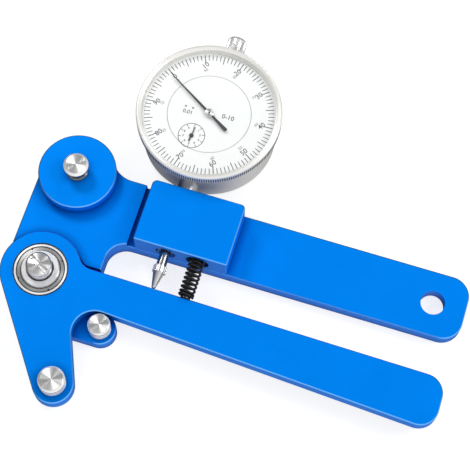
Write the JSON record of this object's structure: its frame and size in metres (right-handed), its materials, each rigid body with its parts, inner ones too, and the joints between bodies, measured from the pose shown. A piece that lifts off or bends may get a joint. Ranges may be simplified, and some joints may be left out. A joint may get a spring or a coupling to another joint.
{
  "type": "spoke tension meter",
  "caption": "Hand-held spoke tension meter: sprung frame and lever on a ball bearing, three posts that bend a spoke, and a dial gauge that reads the lever.",
  "frame": {"origin": "on the lever's hinge axis, at the back face of the frame plate", "axes": "+X along the frame handle to its free end, +Y across the handle to the dial gauge, +Z out of the dial face"},
  "size_m": [0.1783, 0.1673, 0.0244],
  "materials": {
    "blue_anodised": "satin blue anodised, bright broken edges",
    "turned_steel": "bright turned steel with radial tool marks",
    "ground_steel": "ground and polished",
    "shield_steel": "pressed sheet, dull",
    "black_steel": "blackened",
    "satin_chrome": "satin plated",
    "brass": "plain",
    "dial_paper": "matt silver-white dial",
    "hand_black": "blackened hand",
    "clear_crystal": "clear"
  },
  "bodies": {
    "frame": {"frame_plate": "blue_anodised", "gauge_block": "blue_anodised", "block_screws": "black_steel", "stem_grub_screw": "black_steel", "anvil_disc": "blue_anodised", "disc_post": "turned_steel", "stop_post": "turned_steel", "frame_post_screws": "black_steel", "pivot_stud": "turned_steel", "pivot_spacer": "turned_steel", "bearing_inner_ring": "ground_steel", "compression_spring": "black_steel", "dial_case": "satin_chrome", "back_cover": "satin_chrome", "back_cover_screws": "satin_chrome", "dial_stem": "satin_chrome", "stem_bush": "brass", "case_top_bush": "brass", "pillars": "brass", "middle_plate": "brass", "front_plate": "brass", "plate_screws": "brass", "hairspring": "hand_black", "inner_face": "dial_paper", "bezel_snap_ring": "satin_chrome"},
    "lever": {"lever": "blue_anodised", "bearing_outer_ring": "ground_steel", "bearing_shields": "shield_steel", "foot_post": "turned_steel", "foot_post_screw": "black_steel", "spring_pin": "turned_steel"},
    "ball_train": {"bearing_cage": "shield_steel", "bearing_balls": "ground_steel"},
    "spindle": {"spindle": "turned_steel", "spindle_rack": "turned_steel", "contact_point": "turned_steel", "lift_cap": "satin_chrome"},
    "counter": {"counter_arbor": "turned_steel", "counter_wheel": "brass", "counter_pointer": "hand_black"},
    "centre": {"centre_pinion": "turned_steel", "main_pointer": "hand_black"},
    "take_up": {"take_up_arbor": "turned_steel", "take_up_wheel": "brass"},
    "bezel": {"dial_bezel": "satin_chrome", "scale_ring": "dial_paper", "crystal": "clear_crystal"}
  },
  "joints": [
    {"name": "lever_hinge", "type": "hinge", "parent": "frame", "child": "lever", "pos_m": [0, 0, 0.0097], "axis": [0, 0, 1], "range_deg": [-0.75, 4], "stiffness_Nm_per_rad": 3.2, "deforming": ["compression_spring"]},
    {"name": "ball_train_turn", "type": "hinge", "parent": "frame", "child": "ball_train", "pos_m": [0, 0, 0.0097], "axis": [0, 0, 1], "range_deg": [-2, 4]},
    {"name": "spindle_slide", "type": "slide", "parent": "frame", "child": "spindle", "axis": [0, 1, 0], "range_m": [-0.003, 0.0065]},
    {"name": "counter_turn", "type": "hinge", "parent": "frame", "child": "counter", "pos_m": [0.0401, 0.0675, 0.0156], "axis": [0, 0, 1], "range_deg": [-108, 234]},
    {"name": "centre_turn", "type": "hinge", "parent": "frame", "child": "centre", "pos_m": [0.044, 0.0785, 0.0156], "axis": [0, 0, 1], "range_deg": [-2340, 1080]},
    {"name": "take_up_turn", "type": "hinge", "parent": "frame", "child": "take_up", "pos_m": [0.0479, 0.0895, 0.0156], "axis": [0, 0, 1], "range_deg": [-108, 234]},
    {"name": "bezel_turn", "type": "hinge", "parent": "frame", "child": "bezel", "pos_m": [0.044, 0.0785, 0.021], "axis": [0, 0, 1], "continuous": true}
  ],
  "couplings": [
    {"joint": "ball_train_turn", "follows": "lever_hinge", "ratio": 0.573},
    {"joint": "spindle_slide", "follows": "lever_hinge", "m_per_rad": 0.044},
    {"joint": "counter_turn", "follows": "lever_hinge", "ratio": 27.646},
    {"joint": "centre_turn", "follows": "lever_hinge", "ratio": -276.46},
    {"joint": "take_up_turn", "follows": "lever_hinge", "ratio": 27.646}
  ]
}
